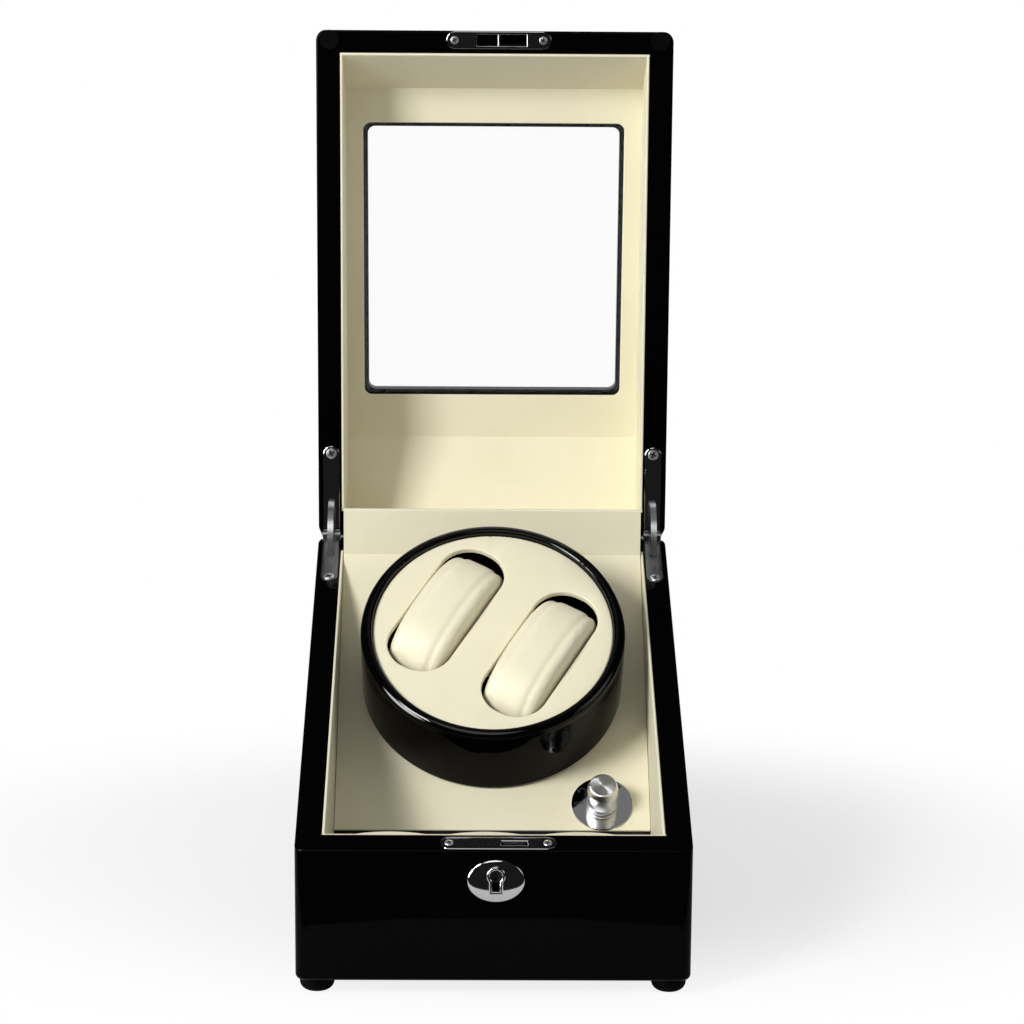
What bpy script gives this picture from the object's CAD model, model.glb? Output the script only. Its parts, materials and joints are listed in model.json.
import json
import math

import bmesh
import bpy
from mathutils import Matrix, Vector


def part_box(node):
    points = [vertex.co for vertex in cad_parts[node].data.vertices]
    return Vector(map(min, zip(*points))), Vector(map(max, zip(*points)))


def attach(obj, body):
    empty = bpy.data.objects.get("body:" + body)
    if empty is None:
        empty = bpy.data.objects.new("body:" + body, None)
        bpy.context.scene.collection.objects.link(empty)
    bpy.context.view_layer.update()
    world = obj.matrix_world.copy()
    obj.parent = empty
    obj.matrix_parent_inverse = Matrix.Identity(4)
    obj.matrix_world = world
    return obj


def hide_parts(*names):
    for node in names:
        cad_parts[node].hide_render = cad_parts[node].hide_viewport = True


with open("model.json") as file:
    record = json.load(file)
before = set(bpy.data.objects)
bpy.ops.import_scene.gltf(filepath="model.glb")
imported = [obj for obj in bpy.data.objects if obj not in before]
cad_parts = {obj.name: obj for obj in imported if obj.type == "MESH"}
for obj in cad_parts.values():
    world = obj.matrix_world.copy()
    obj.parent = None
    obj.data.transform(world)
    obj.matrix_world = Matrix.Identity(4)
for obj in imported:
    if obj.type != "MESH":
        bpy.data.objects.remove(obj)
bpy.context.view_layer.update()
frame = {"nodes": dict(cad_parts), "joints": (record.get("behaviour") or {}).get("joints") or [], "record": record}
nodes = frame["nodes"]
joints = {j["name"]: j for j in frame["joints"]}
MM = 0.001

# Camera fitted to the case's edges in the photograph
CAMERA_PLACE = Vector((-0.011705, -1.501969, 0.522153))
CAMERA_PITCH = math.radians(12.369)
CAMERA_YAW = math.radians(0.7926)
CAMERA_ROLL = math.radians(0.4312)
CAMERA_LENS = 110.466

DECK_TILT, RIM_TILT = math.radians(39.6), math.radians(20)
DECK_NORMAL = Vector((0, -math.sin(DECK_TILT), math.cos(DECK_TILT)))
RIM_NORMAL = Vector((0, -math.sin(RIM_TILT), math.cos(RIM_TILT)))
LID_NORMAL = Vector((0, -1, 0))


# Materials
LEATHER_GRAIN = 1100.0


class Shade:
    """A Principled material with short ways to add its texture nodes."""

    def __init__(self, name, **sockets):
        self.material = bpy.data.materials.new(name)
        self.material.use_nodes = True
        self.tree = self.material.node_tree
        self.shader = self.tree.nodes["Principled BSDF"]
        for socket, value in sockets.items():
            self.shader.inputs[socket.replace("_", " ")].default_value = value
        self.spot = self.tree.nodes.new("ShaderNodeTexCoord").outputs["Object"]

    def node(self, kind, **links):
        made = self.tree.nodes.new("ShaderNode" + kind)
        for socket, value in links.items():
            target = made.inputs[socket.replace("_", " ")]
            if isinstance(value, bpy.types.NodeSocket):
                self.tree.links.new(value, target)
            else:
                target.default_value = value
        return made

    def link(self, output, socket):
        self.tree.links.new(output, self.shader.inputs[socket])

    def noise(self, scale, detail=4.0, at=None):
        return self.node("TexNoise", Vector=at or self.spot, Scale=scale, Detail=detail,
                         Roughness=0.55).outputs["Fac"]

    def ramp(self, value, low, high, out_low, out_high):
        made = self.node("MapRange", Value=value)
        for i, number in enumerate((low, high, out_low, out_high), start=1):
            made.inputs[i].default_value = number
        return made.outputs["Result"]

    def vary(self, scale, low, high, detail=4.0):
        """Noise spread from one value to another."""
        return self.ramp(self.noise(scale, detail), 0.3, 0.7, low, high)

    def tint(self, value, dark, light):
        mix = self.tree.nodes.new("ShaderNodeMix")
        mix.data_type = "RGBA"
        self.tree.links.new(value, mix.inputs["Factor"])
        mix.inputs["A"].default_value = (*dark, 1.0)
        mix.inputs["B"].default_value = (*light, 1.0)
        self.link(mix.outputs["Result"], "Base Color")

    def bump(self, height, strength, distance, under=None):
        made = self.node("Bump", Height=height, Strength=strength, Distance=distance)
        if under is not None:
            self.tree.links.new(under.outputs["Normal"], made.inputs["Normal"])
        self.link(made.outputs["Normal"], "Normal")
        return made


def make_lacquer(name, gloss):
    s = Shade(name, IOR=gloss)
    s.tint(s.noise(6.0), (0.0005, 0.0005, 0.0006), (0.0012, 0.0011, 0.0012))
    s.link(s.vary(40.0, 0.035, 0.075, 6.0), "Roughness")
    fine = s.bump(s.noise(900.0, 2.0), 0.04, 0.00005)
    s.bump(s.noise(22.0, 2.0), 0.06, 0.0006, fine)
    return s.material


def make_leatherette(name, light, dark):
    s = Shade(name, IOR=1.45, Sheen_Weight=0.12, Sheen_Roughness=0.5)
    s.tint(s.vary(26.0, 0.0, 1.0, 5.0), dark, light)
    s.link(s.vary(160.0, 0.42, 0.58, 3.0), "Roughness")
    cells = s.node("TexVoronoi", Vector=s.spot, Scale=LEATHER_GRAIN)
    cells.feature = "SMOOTH_F1"
    soft = s.bump(s.noise(55.0, 3.0), 0.25, 0.0006)
    s.bump(cells.outputs["Distance"], 0.22, 0.00012, soft)
    return s.material


def make_chrome(name, shade, roughness):
    s = Shade(name, Metallic=1.0)
    s.tint(s.noise(30.0), tuple(c * 0.94 for c in shade), shade)
    s.link(s.ramp(s.noise(300.0, 5.0), 0.3, 0.75, roughness * 0.85, roughness * 1.25), "Roughness")
    s.bump(s.noise(120.0, 2.0), 0.04, 0.0001)
    return s.material


def make_spun(name, dark, light, roughness):
    s = Shade(name, Metallic=1.0, Anisotropic=0.85)
    apart = s.node("SeparateXYZ", Vector=s.spot)
    flat = s.node("CombineXYZ", X=apart.outputs["X"], Y=apart.outputs["Y"])
    radius = s.node("VectorMath", Vector=flat.outputs["Vector"])
    radius.operation = "LENGTH"
    lines = s.node("CombineXYZ", X=radius.outputs["Value"], Z=apart.outputs["Z"])
    grooves = s.noise(9000.0, 3.0, at=lines.outputs["Vector"])
    s.tint(grooves, (dark, dark, dark), (light, light, light))
    s.link(s.ramp(grooves, 0.3, 0.7, roughness * 0.85, roughness * 1.15), "Roughness")
    tangent = s.tree.nodes.new("ShaderNodeTangent")
    tangent.direction_type = "RADIAL"
    tangent.axis = "Z"
    s.link(tangent.outputs["Tangent"], "Tangent")
    return s.material


def make_plain(name, light, dark, roughness, metallic=0.0, gloss=1.5):
    s = Shade(name, Metallic=metallic, IOR=gloss)
    s.tint(s.vary(120.0, 0.0, 1.0), dark, light)
    s.link(s.vary(300.0, roughness * 0.85, roughness * 1.15), "Roughness")
    s.bump(s.noise(720.0), 0.08, 0.0001)
    return s.material


def make_glass():
    s = Shade("clear_glass", Roughness=0.0, IOR=1.45, Transmission_Weight=1.0)
    s.tint(s.noise(15.0), (0.985, 0.994, 0.990), (0.992, 0.998, 0.995))
    return s.material


def make_board():
    s = Shade("circuit_board")
    tracks = s.node("TexBrick", Vector=s.spot, Scale=160.0)
    s.tint(tracks.outputs["Fac"], (0.010, 0.10, 0.035), (0.04, 0.22, 0.08))
    s.link(s.vary(300.0, 0.30, 0.42), "Roughness")
    s.bump(tracks.outputs["Fac"], 0.2, 0.0001)
    return s.material


MATERIALS = {
    "black_lacquer": make_lacquer("black_lacquer", 1.11),
    "cream_leatherette": make_leatherette("cream_leatherette", (0.80, 0.755, 0.565),
                                          (0.765, 0.715, 0.525)),
    "black_board": make_plain("black_board", (0.010, 0.010, 0.010), (0.005, 0.005, 0.005), 0.7,
                              gloss=1.3),
    "chrome_plate": make_chrome("chrome_plate", (0.55, 0.555, 0.565), 0.06),
    "spun_aluminium": make_spun("spun_aluminium", 0.66, 0.80, 0.35),
    "zinc_steel": make_plain("zinc_steel", (0.60, 0.60, 0.62), (0.50, 0.50, 0.52), 0.28, 1.0),
    "dark_steel": make_plain("dark_steel", (0.07, 0.07, 0.075), (0.04, 0.04, 0.045), 0.35, 1.0),
    "turned_brass": make_plain("turned_brass", (0.72, 0.52, 0.22), (0.60, 0.42, 0.17), 0.25, 1.0),
    "nylon": make_plain("nylon", (0.80, 0.79, 0.74), (0.74, 0.73, 0.68), 0.45),
    "clear_glass": make_glass(),
    "black_rubber": make_plain("black_rubber", (0.0022, 0.0020, 0.0020), (0.0012, 0.0010, 0.0010), 0.6,
                               gloss=1.1),
    "black_plastic": make_plain("black_plastic", (0.016, 0.016, 0.017), (0.011, 0.011, 0.012), 0.38),
    "circuit_board": make_board(),
}
DARK_INK = make_plain("engraved_mark", (0.012, 0.012, 0.013), (0.008, 0.008, 0.008), 0.6)
TURNED = make_spun("turned_aluminium", 0.78, 0.86, 0.30)
SCREW_STEEL = make_plain("screw_steel", (0.86, 0.86, 0.87), (0.78, 0.78, 0.80), 0.36, 1.0)
# Nodes whose finish differs from the rest of their slot
OWN_LOOK = {"hinge_struts": make_chrome("satin_strap", (0.46, 0.465, 0.47), 0.34),
            "hinge_base_leaves": make_chrome("satin_leaf", (0.22, 0.225, 0.23), 0.30),
            "lock_bolt": MATERIALS["dark_steel"]}
CUSHION = make_leatherette("cushion_leatherette", (0.82, 0.775, 0.59), (0.77, 0.72, 0.53))
RIM_LACQUER = make_lacquer("polished_lacquer", 1.32)
SLOT_OF = {p["node"]: p["material_slot"] for p in frame["record"]["subparts"]}

# CAD nodes and the ways to add a piece
WELD_REACH = 2e-6
FACE_SPLIT = math.radians(32)
RIM_POLISH = 4.5 * MM
TURNED_SIDES = 96


def dress_nodes():
    """Give each CAD node its material, joined faces and smooth rounds."""
    for name, obj in nodes.items():
        obj.data.materials.clear()
        obj.data.materials.append(OWN_LOOK.get(name) or MATERIALS[SLOT_OF[name]])
        obj.data.polygons.foreach_set("use_smooth", [True] * len(obj.data.polygons))
        weld = obj.modifiers.new("weld", "WELD")
        weld.merge_threshold = WELD_REACH
        split_edges(obj, FACE_SPLIT)


def split_edges(obj, angle):
    obj.modifiers.new("split", "EDGE_SPLIT").split_angle = angle


def polish_rim(node, normal, depth):
    """Give the faces within a depth of a node's top the more polished lacquer."""
    mesh = nodes[node].data
    mesh.materials.append(RIM_LACQUER)
    top = max(v.co.dot(normal) for v in mesh.vertices)
    for face in mesh.polygons:
        face.material_index = int(face.center.dot(normal) > top - depth)


def frame_at(place, x_axis, z_axis):
    y_axis = z_axis.cross(x_axis)
    turn = Matrix((x_axis, y_axis, z_axis)).transposed().to_4x4()
    return Matrix.Translation(place) @ turn


def add_piece(name, mesh, matrix, body, material, smooth=True):
    obj = bpy.data.objects.new(name, mesh)
    bpy.context.scene.collection.objects.link(obj)
    obj.matrix_world = matrix
    mesh.materials.append(material)
    if smooth:
        mesh.polygons.foreach_set("use_smooth", [True] * len(mesh.polygons))
    bpy.context.view_layer.update()
    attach(obj, body)
    return obj


def close_mesh(work, name):
    mesh = bpy.data.meshes.new(name)
    work.to_mesh(mesh)
    work.free()
    return mesh


def revolve(name, profile):
    """Mesh of a turned piece from radius and height pairs in millimetres."""
    work = bmesh.new()
    steps = TURNED_SIDES
    rings = []
    for radius, height in profile:
        if radius == 0:
            rings.append([work.verts.new((0, 0, height * MM))])
            continue
        rings.append([work.verts.new((radius * MM * math.cos(2 * math.pi * i / steps),
                                      radius * MM * math.sin(2 * math.pi * i / steps),
                                      height * MM)) for i in range(steps)])
    for low, high in zip(rings, rings[1:]):
        for i in range(steps):
            j = (i + 1) % steps
            if len(low) == 1:
                work.faces.new((low[0], high[j], high[i]))
            elif len(high) == 1:
                work.faces.new((low[i], low[j], high[0]))
            else:
                work.faces.new((low[i], low[j], high[j], high[i]))
    bmesh.ops.recalc_face_normals(work, faces=work.faces)
    return close_mesh(work, name)


# Cushions: closed crowned forms, swollen by a short cloth simulation
CUSHION_LENGTH, CUSHION_WIDTH, CUSHION_HEIGHT = 74.0 * MM, 29.6 * MM, 43.6 * MM
CUSHION_ASIDE, CUSHION_FOOT = 26.5 * MM, 7.4 * MM
CUSHION_TURN = math.radians(-30)
PAD_AROUND, PAD_ACROSS = 44, 15
# Exponents of the draw towards the sides, of the ends, the crown and the foot, then what is drawn in
PAD_DRAW, PAD_ENDS, PAD_CROWN, PAD_FOOT = 4.5, 0.80, 0.92, 0.55
PAD_TAPER, PAD_TAPER_TOP, PAD_DROP = 0.14, 0.45, 0.10
SWELL_REACH, SWELL_VOXEL, SWELL_FRAMES = 0.0008, 0.0022, 18
SEAM_PLACE, SEAM_DEPTH, SEAM_WIDTH = 0.3, 0.0007, 0.0016


def cushion_mesh(length, width, height):
    """Rounded pillow: outlines along the cushion, drawn in towards its two side faces."""
    work = bmesh.new()
    rows = []
    for i in range(PAD_ACROSS):
        t = -1 + 2 * i / (PAD_ACROSS - 1)
        draw = (1 - abs(t) ** PAD_DRAW) ** 0.5 if abs(t) < 1 else 0.0
        half = length / 2 * (1 - PAD_TAPER + PAD_TAPER * draw)
        top = height * (1 - PAD_DROP + PAD_DROP * draw)
        row = []
        for k in range(PAD_AROUND):
            a = 2 * math.pi * k / PAD_AROUND
            y = half * math.copysign(abs(math.cos(a)) ** PAD_ENDS, math.cos(a))
            z = math.sin(a)
            z = top * (0.5 + 0.5 * math.copysign(abs(z) ** (PAD_CROWN if z > 0 else PAD_FOOT), z))
            if z <= top * PAD_TAPER_TOP:
                y *= 1 - PAD_TAPER + PAD_TAPER * z / (top * PAD_TAPER_TOP)
            row.append(work.verts.new((t * width / 2, y, z)))
        rows.append(row)
    for a, b in zip(rows, rows[1:]):
        for k in range(PAD_AROUND):
            j = (k + 1) % PAD_AROUND
            work.faces.new((a[k], a[j], b[j], b[k]))
    for row in (rows[0], rows[-1]):
        work.faces.new(row)
    bmesh.ops.recalc_face_normals(work, faces=work.faces)
    return close_mesh(work, "cushion")


def swell(obj):
    """Inflate a closed form a little as cloth, with each point held within its reach."""
    scene = bpy.context.scene
    remesh = obj.modifiers.new("remesh", "REMESH")
    remesh.mode, remesh.voxel_size = "VOXEL", SWELL_VOXEL
    apply_modifiers(obj)
    start = [v.co.copy() for v in obj.data.vertices]
    cloth = obj.modifiers.new("cloth", "CLOTH")
    cloth.settings.use_pressure = True
    cloth.settings.uniform_pressure_force = 4.0
    cloth.settings.effector_weights.gravity = 0.0
    cloth.settings.tension_stiffness = 25.0
    for step in range(1, SWELL_FRAMES + 1):
        scene.frame_set(step)
    apply_modifiers(obj)
    scene.frame_set(1)
    for vertex, rest in zip(obj.data.vertices, start):
        move = vertex.co - rest
        if move.length > SWELL_REACH:
            vertex.co = rest + move.normalized() * SWELL_REACH


def apply_modifiers(obj):
    evaluated = obj.evaluated_get(bpy.context.evaluated_depsgraph_get())
    mesh = bpy.data.meshes.new_from_object(evaluated)
    obj.modifiers.clear()
    obj.data = mesh


def seam_lines(obj):
    """Draw the cover in along the two sewn edges that run round the cushion."""
    for vertex in obj.data.vertices:
        for side in (-1, 1):
            apart = (vertex.co.x - side * CUSHION_WIDTH * SEAM_PLACE) / SEAM_WIDTH
            vertex.co -= vertex.normal * SEAM_DEPTH * math.exp(-apart * apart)


def make_cushions():
    centre = Vector(joints["turntable_spin"]["pos_m"])
    turn = Matrix.Rotation(CUSHION_TURN, 4, "Z")
    for side, name in ((-1, "left_cushion"), (1, "right_cushion")):
        spot = frame_at(centre, Vector((1, 0, 0)), DECK_NORMAL) @ turn
        spot = spot @ Matrix.Translation((side * CUSHION_ASIDE, 0, CUSHION_FOOT))
        mesh = cushion_mesh(CUSHION_LENGTH, CUSHION_WIDTH, CUSHION_HEIGHT)
        obj = bpy.data.objects.new(name + "_pad", mesh)
        bpy.context.scene.collection.objects.link(obj)
        swell(obj)
        fine = obj.modifiers.new("fine", "SUBSURF")
        fine.levels = fine.render_levels = 1
        apply_modifiers(obj)
        seam_lines(obj)
        obj.data.materials.clear()
        obj.data.materials.append(CUSHION)
        obj.data.polygons.foreach_set("use_smooth", [True] * len(obj.data.polygons))
        obj.matrix_world = spot
        bpy.context.view_layer.update()
        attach(obj, "turntable")
        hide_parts(name)


# Mode knob with its spun top, and the marks on its plate, in millimetres on the knob's axis
POINTER_SIZE, POINTER_ROUND, POINTER_PLACE = (1.5, 0.55, 2.6), 0.12, (-6.3, 0, 16.05)
PLATE_TOP, MARK_RAISE = 1.0, 0.06
ARROW_RADIUS, ARROW_THICK, ARROW_HEAD = 1.9, 0.6, 42.0
ARROWS = ((-9.4, 6.6, -60, 200), (7.0, 9.2, 240, -20))
WORD_SIZE, WORD_THICK, WORD_PLACE = 2.6, 0.02, (-11.2, 0, 0.05)
KNOB_SPUN_FROM = 17.15
KNOB_PROFILE = [
    (0, 3.6), (5.6, 3.6), (5.6, 1.3), (6.8, 1.3), (7.25, 1.45), (7.4, 1.8), (7.4, 3.1), (7.3, 3.35),
    (7.1, 3.6), (7.1, 4.0), (7.3, 4.2), (7.4, 4.5), (7.4, 13.7), (7.35, 14.2), (7.1, 14.7),
    (6.85, 15.1), (6.75, 15.4), (6.72, 16.3), (6.6, 16.8), (6.35, 17.1), (6.0, 17.2), (4.6, 17.2),
    (3.4, 17.2), (2.2, 17.2), (1.0, 17.2), (0, 17.2)]


def shift(place):
    return Matrix.Translation(Vector(place) * MM)


def make_knob():
    spot = frame_at(Vector(joints["knob_turn"]["pos_m"]), Vector((1, 0, 0)), DECK_NORMAL)
    mesh = revolve("knob_turned", KNOB_PROFILE)
    obj = add_piece("knob_turned", mesh, spot, "mode_knob",
                    MATERIALS["spun_aluminium"])
    split_edges(obj, math.radians(50))
    mesh.materials.append(TURNED)
    for face in mesh.polygons:
        face.material_index = 0 if face.center.z > KNOB_SPUN_FROM * MM else 1
    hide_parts("knob")
    work = bmesh.new()
    bmesh.ops.create_cube(work, size=1.0)
    bmesh.ops.scale(work, vec=Vector(POINTER_SIZE) * MM, verts=work.verts)
    bmesh.ops.bevel(work, geom=work.edges[:], offset=POINTER_ROUND * MM, segments=2, affect="EDGES")
    mark = close_mesh(work, "knob_pointer")
    add_piece("knob_pointer", mark, spot @ shift(POINTER_PLACE), "mode_knob", DARK_INK)
    plate = spot @ shift((0, 0, PLATE_TOP))
    for index, (x, y, start, end) in enumerate(ARROWS):
        arrow = arc_arrow(f"mode_arrow_{index}", start, end)
        add_piece(arrow.name, arrow, plate @ shift((x, y, 0)), "base", DARK_INK,
                  smooth=False)
    word = bpy.data.curves.new("mode_off", "FONT")
    word.body, word.size, word.extrude = "OFF", WORD_SIZE * MM, WORD_THICK * MM
    word.align_x = word.align_y = "CENTER"
    text = bpy.data.objects.new("mode_off", word)
    bpy.context.scene.collection.objects.link(text)
    text.matrix_world = plate @ shift(WORD_PLACE)
    word.materials.append(DARK_INK)
    bpy.context.view_layer.update()
    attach(text, "base")


def arc_arrow(name, start, end):
    """Flat turning arrow on a plate: most of a ring with an arrow head at its end."""
    work = bmesh.new()
    steps = 28
    sweep = end - start - math.copysign(ARROW_HEAD, end - start)

    def corner(r, degrees):
        a = math.radians(degrees)
        return work.verts.new((r * MM * math.cos(a), r * MM * math.sin(a), MARK_RAISE * MM))

    pairs = []
    for i in range(steps + 1):
        turn = start + sweep * i / steps
        pairs.append((corner(ARROW_RADIUS - ARROW_THICK / 2, turn),
                      corner(ARROW_RADIUS + ARROW_THICK / 2, turn)))
    for low, high in zip(pairs, pairs[1:]):
        work.faces.new((low[0], low[1], high[1], high[0]))
    barb = 1.6 * ARROW_THICK
    work.faces.new((corner(ARROW_RADIUS - barb, start + sweep), corner(ARROW_RADIUS + barb, start + sweep),
                    corner(ARROW_RADIUS, end)))
    bmesh.ops.recalc_face_normals(work, faces=work.faces)
    return close_mesh(work, name)


# Countersunk screws with a cross recess: head, shank and length in millimetres. The head's ease and
# the recess's arm, half width and taper are shares; its rise and depth are in millimetres
HINGE_SCREW, PLATE_SCREW = (5.4, 2.6, 11.0), (4.0, 2.0, 7.0)
SCREW_SIDES, SCREW_DOME, SCREW_EASE = 40, 0.22, 0.93
RECESS_ARM, RECESS_HALF, RECESS_TAPER = 0.62, 0.17, 0.6
RECESS_RISE, RECESS_DEPTH = 0.1, 0.9
HEAD_NEAR, HEAD_FLAT = 4.0 * MM, 1e-6


def screw_mesh(name, head, shank, length):
    outer, dome = head / 2, SCREW_DOME
    work = bmesh.new()

    def circle(radius, height):
        turns = [2 * math.pi * i / SCREW_SIDES for i in range(SCREW_SIDES)]
        return [work.verts.new((radius * MM * math.cos(a), radius * MM * math.sin(a), height * MM))
                for a in turns]

    ring = circle(outer * SCREW_EASE, dome)
    arm, half = outer * RECESS_ARM, outer * RECESS_HALF
    corners = [(arm, -half), (arm, half), (half, half), (half, arm), (-half, arm), (-half, half),
               (-arm, half), (-arm, -half), (-half, -half), (-half, -arm), (half, -arm), (half, -half)]
    cross = [work.verts.new((x * MM, y * MM, (dome + RECESS_RISE) * MM)) for x, y in corners]
    edges = []
    for loop in (ring, cross):
        edges += [work.edges.new((loop[i], loop[(i + 1) % len(loop)])) for i in range(len(loop))]
    bmesh.ops.triangle_fill(work, edges=edges, use_beauty=True)
    floor = [work.verts.new((v.co.x * RECESS_TAPER, v.co.y * RECESS_TAPER, v.co.z - RECESS_DEPTH * MM))
             for v in cross]
    recess = [work.faces.new((cross[i - 1], cross[i], floor[i], floor[i - 1])) for i in range(len(cross))]
    recess.append(work.faces.new(floor))
    for face in recess:
        face.material_index = 1
    below = [(outer, 0.0), (shank / 2, -(head - shank) / 2), (shank / 2, -length)]
    upper = ring
    for radius, height in below:
        lower = circle(radius, height)
        for i in range(SCREW_SIDES):
            work.faces.new((upper[i - 1], upper[i], lower[i], lower[i - 1]))
        upper = lower
    work.faces.new(upper)
    bmesh.ops.recalc_face_normals(work, faces=work.faces)
    return close_mesh(work, name)


def make_screws():
    """Put a pair of screws in the place of each node of plate or hinge screws."""
    rows = (("hinge_base_screws", RIM_NORMAL, HINGE_SCREW, "base"),
            ("hinge_lid_screws", LID_NORMAL, HINGE_SCREW, "lid"),
            ("lock_screws", RIM_NORMAL, PLATE_SCREW, "base"),
            ("strike_screws", LID_NORMAL, PLATE_SCREW, "lid"))
    for node, normal, (head, shank, length), body in rows:
        low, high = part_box(node)
        for i, x in enumerate((low.x + head / 2 * MM, high.x - head / 2 * MM)):
            top = head_centre(node, x, normal)
            turn = 0.5 + 0.7 * i
            side = Vector((1, 0, 0)) * math.cos(turn) + normal.cross(Vector((1, 0, 0))) * math.sin(turn)
            mesh = screw_mesh(f"{node}_{i}", head, shank, length)
            obj = add_piece(f"{node}_{i}", mesh, frame_at(top, side, normal), body,
                            SCREW_STEEL)
            mesh.materials.append(DARK_INK)
            split_edges(obj, math.radians(30))
        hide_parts(node)


def head_centre(node, x, normal):
    """Middle of the head's top face of the screw at an X, from its CAD vertices."""
    near = [v.co for v in nodes[node].data.vertices if abs(v.co.x - x) < HEAD_NEAR]
    top = max(co.dot(normal) for co in near)
    face = [co for co in near if co.dot(normal) > top - HEAD_FLAT]
    low = Vector(min(co[i] for co in face) for i in range(3))
    high = Vector(max(co[i] for co in face) for i in range(3))
    return (low + high) / 2


# Stage: pale floor, white surround behind, a softly lit room in front
FLOOR_RADIUS, FLOOR_PLACE, FLOOR_SCALE = 0.46, (0, 0.05, -0.0004), (1.0, 0.66, 1.0)
FLOOR_FADE = (("From Min", 0.16), ("From Max", 0.40), ("To Min", 0.66))
AMBIENT = 0.40
ROOM_DARK = 0.016
# Name, azimuth, elevation, distance, size and power
LAMPS = (("key", -41, 28, 1.9, 0.52, 31.5), ("right_fill", 62, 18, 1.9, 0.9, 2.2))
LAMP_AIM = Vector((0.0, 0.02, 0.18))


def make_stage():
    work = bmesh.new()
    bmesh.ops.create_circle(work, cap_ends=True, segments=128, radius=FLOOR_RADIUS)
    mesh = close_mesh(work, "floor")
    floor = bpy.data.objects.new("floor", mesh)
    bpy.context.scene.collection.objects.link(floor)
    floor.location, floor.scale = FLOOR_PLACE, FLOOR_SCALE
    material = bpy.data.materials.new("pale_floor")
    material.use_nodes = True
    tree = material.node_tree
    shader = tree.nodes["Principled BSDF"]
    shader.inputs["Base Color"].default_value = (0.90, 0.90, 0.90, 1.0)
    shader.inputs["Roughness"].default_value = 0.7
    shader.inputs["Specular IOR Level"].default_value = 0.1
    seen = seen_rays(tree, ("Is Camera Ray", "Is Transmission Ray"))
    place = tree.nodes.new("ShaderNodeTexCoord").outputs["Object"]
    away = tree.nodes.new("ShaderNodeVectorMath")
    away.operation = "LENGTH"
    tree.links.new(place, away.inputs[0])
    fade = tree.nodes.new("ShaderNodeMapRange")
    fade.interpolation_type = "SMOOTHSTEP"
    tree.links.new(away.outputs["Value"], fade.inputs["Value"])
    for socket, value in FLOOR_FADE:
        fade.inputs[socket].default_value = value
    both = tree.nodes.new("ShaderNodeMath")
    both.operation = "MULTIPLY"
    tree.links.new(fade.outputs["Result"], both.inputs[0])
    tree.links.new(seen, both.inputs[1])
    white = tree.nodes.new("ShaderNodeEmission")
    mix = tree.nodes.new("ShaderNodeMixShader")
    tree.links.new(both.outputs["Value"], mix.inputs["Fac"])
    tree.links.new(shader.outputs["BSDF"], mix.inputs[1])
    tree.links.new(white.outputs["Emission"], mix.inputs[2])
    tree.links.new(mix.outputs["Shader"], tree.nodes["Material Output"].inputs["Surface"])
    mesh.materials.append(material)


def largest(tree, values):
    """The greatest of several node outputs."""
    total = values[0]
    for value in values[1:]:
        join = tree.nodes.new("ShaderNodeMath")
        join.operation = "MAXIMUM"
        tree.links.new(total, join.inputs[0])
        tree.links.new(value, join.inputs[1])
        total = join.outputs["Value"]
    return total


def seen_rays(tree, names):
    """One where a ray of these kinds arrives, and nothing where light is gathered."""
    path = tree.nodes.new("ShaderNodeLightPath")
    return largest(tree, [path.outputs[name] for name in names])


# What gloss sees of the room: the white behind, a grey ceiling, a tall soft screen in front and a
# window on each side, each with its direction, the cosines of its edge and its middle, its strength
ROOM_LIGHT = (((0.0, 1.0, 0.0), 0.75, 0.98, 1.0),
              ((0.0, 0.05, 1.0), 0.90, 0.99, 0.28),
              ((-0.10, -0.72, 0.69), 0.955, 0.97, 2.2),
              ((-0.84, -0.51, 0.16), 0.95, 0.985, 26.0),
              ((0.90, -0.30, 0.28), 0.96, 0.98, 0.9))


def facing(tree, way, towards, start, full, strength):
    """Soft patch of light round a direction, from its edge's cosine to its middle's."""
    dot = tree.nodes.new("ShaderNodeVectorMath")
    dot.operation = "DOT_PRODUCT"
    tree.links.new(way, dot.inputs[0])
    dot.inputs[1].default_value = Vector(towards).normalized()
    patch = tree.nodes.new("ShaderNodeMapRange")
    patch.interpolation_type = "SMOOTHSTEP"
    tree.links.new(dot.outputs["Value"], patch.inputs["Value"])
    for socket, value in (("From Min", start), ("From Max", full), ("To Min", ROOM_DARK),
                          ("To Max", strength)):
        patch.inputs[socket].default_value = value
    return patch.outputs["Result"]


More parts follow.
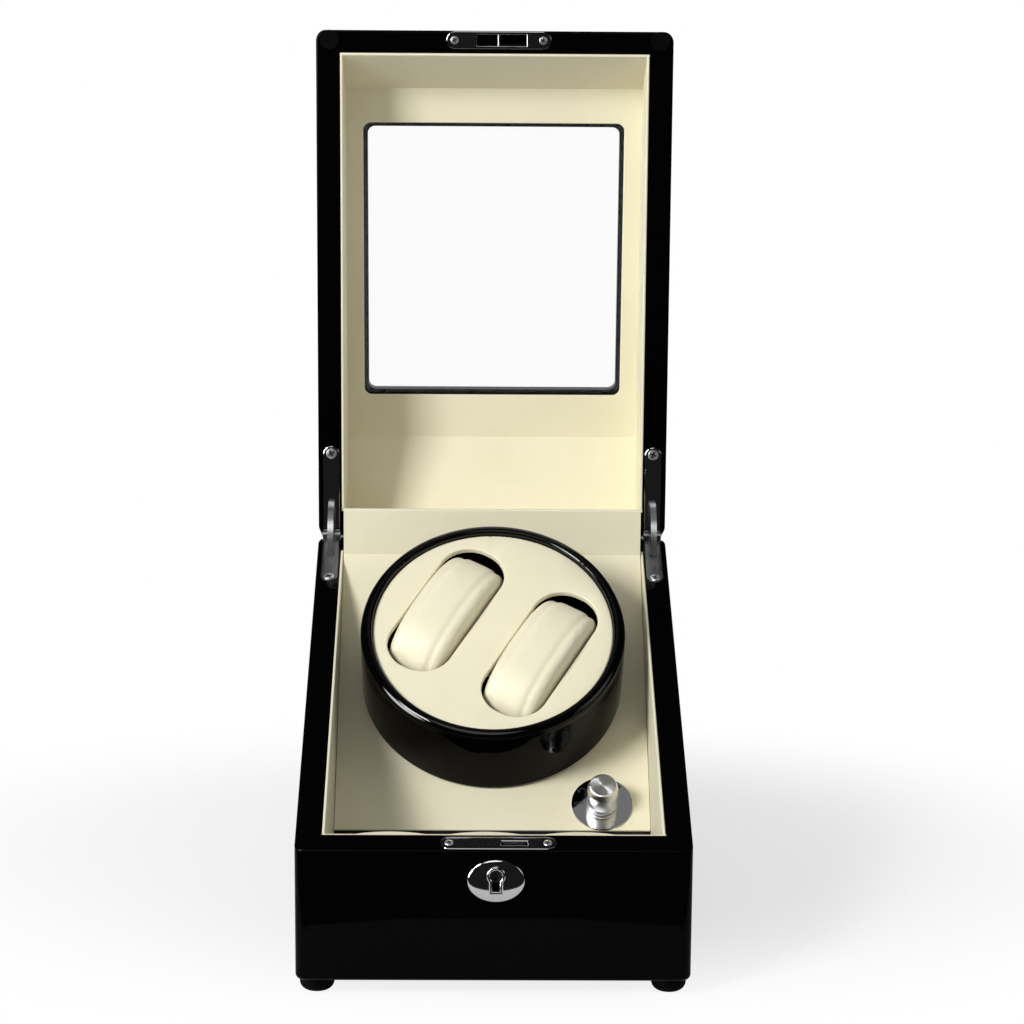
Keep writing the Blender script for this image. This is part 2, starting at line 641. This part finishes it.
def make_world():
    world = bpy.data.worlds.new("studio")
    bpy.context.scene.world = world
    world.use_nodes = True
    tree = world.node_tree
    ambient = tree.nodes["Background"]
    ambient.inputs["Color"].default_value = (1.0, 1.0, 1.0, 1.0)
    ambient.inputs["Strength"].default_value = AMBIENT
    white = tree.nodes.new("ShaderNodeBackground")
    white.inputs["Color"].default_value = (1.0, 1.0, 1.0, 1.0)
    room = tree.nodes.new("ShaderNodeBackground")
    room.inputs["Color"].default_value = (1.0, 1.0, 1.0, 1.0)
    way = tree.nodes.new("ShaderNodeTexCoord").outputs["Generated"]
    patches = [facing(tree, way, *light) for light in ROOM_LIGHT]
    tree.links.new(largest(tree, patches), room.inputs["Strength"])
    surface = ambient.outputs["Background"]
    for rays, shown in ((("Is Glossy Ray",), room), (("Is Camera Ray", "Is Transmission Ray"), white)):
        mix = tree.nodes.new("ShaderNodeMixShader")
        tree.links.new(seen_rays(tree, rays), mix.inputs["Fac"])
        tree.links.new(surface, mix.inputs[1])
        tree.links.new(shown.outputs["Background"], mix.inputs[2])
        surface = mix.outputs["Shader"]
    tree.links.new(surface, tree.nodes["World Output"].inputs["Surface"])


def add_lamp(name, azimuth, elevation, distance, size, power):
    """Soft square lamp; azimuth is measured from the front, positive to the right."""
    lamp = bpy.data.lights.new(name, "AREA")
    lamp.shape, lamp.size, lamp.energy = "SQUARE", size, power
    obj = bpy.data.objects.new(name, lamp)
    bpy.context.scene.collection.objects.link(obj)
    a, e = math.radians(azimuth), math.radians(elevation)
    way = Vector((math.sin(a) * math.cos(e), -math.cos(a) * math.cos(e), math.sin(e)))
    obj.location = LAMP_AIM + way * distance
    obj.rotation_euler = (-way).to_track_quat("-Z", "Y").to_euler()


def make_lights():
    for lamp in LAMPS:
        add_lamp(*lamp)


def make_camera():
    forward = Vector((math.sin(CAMERA_YAW) * math.cos(CAMERA_PITCH),
                      math.cos(CAMERA_YAW) * math.cos(CAMERA_PITCH), -math.sin(CAMERA_PITCH)))
    right = Vector((math.cos(CAMERA_YAW), -math.sin(CAMERA_YAW), 0))
    up = right.cross(forward)
    c, s = math.cos(CAMERA_ROLL), math.sin(CAMERA_ROLL)
    right, up = c * right + s * up, c * up - s * right
    data = bpy.data.cameras.new("camera")
    data.lens, data.sensor_width, data.sensor_fit = CAMERA_LENS, 36.0, "HORIZONTAL"
    data.clip_start, data.clip_end = 0.05, 20.0
    obj = bpy.data.objects.new("camera", data)
    bpy.context.scene.collection.objects.link(obj)
    turn = Matrix((right, up, -forward)).transposed().to_4x4()
    obj.matrix_world = Matrix.Translation(CAMERA_PLACE) @ turn
    bpy.context.scene.camera = obj


dress_nodes()
polish_rim("drum", DECK_NORMAL, RIM_POLISH)
make_camera()
make_cushions()
make_knob()
make_screws()
make_stage()
make_world()
make_lights()
bpy.context.scene.view_settings.view_transform = "Standard"
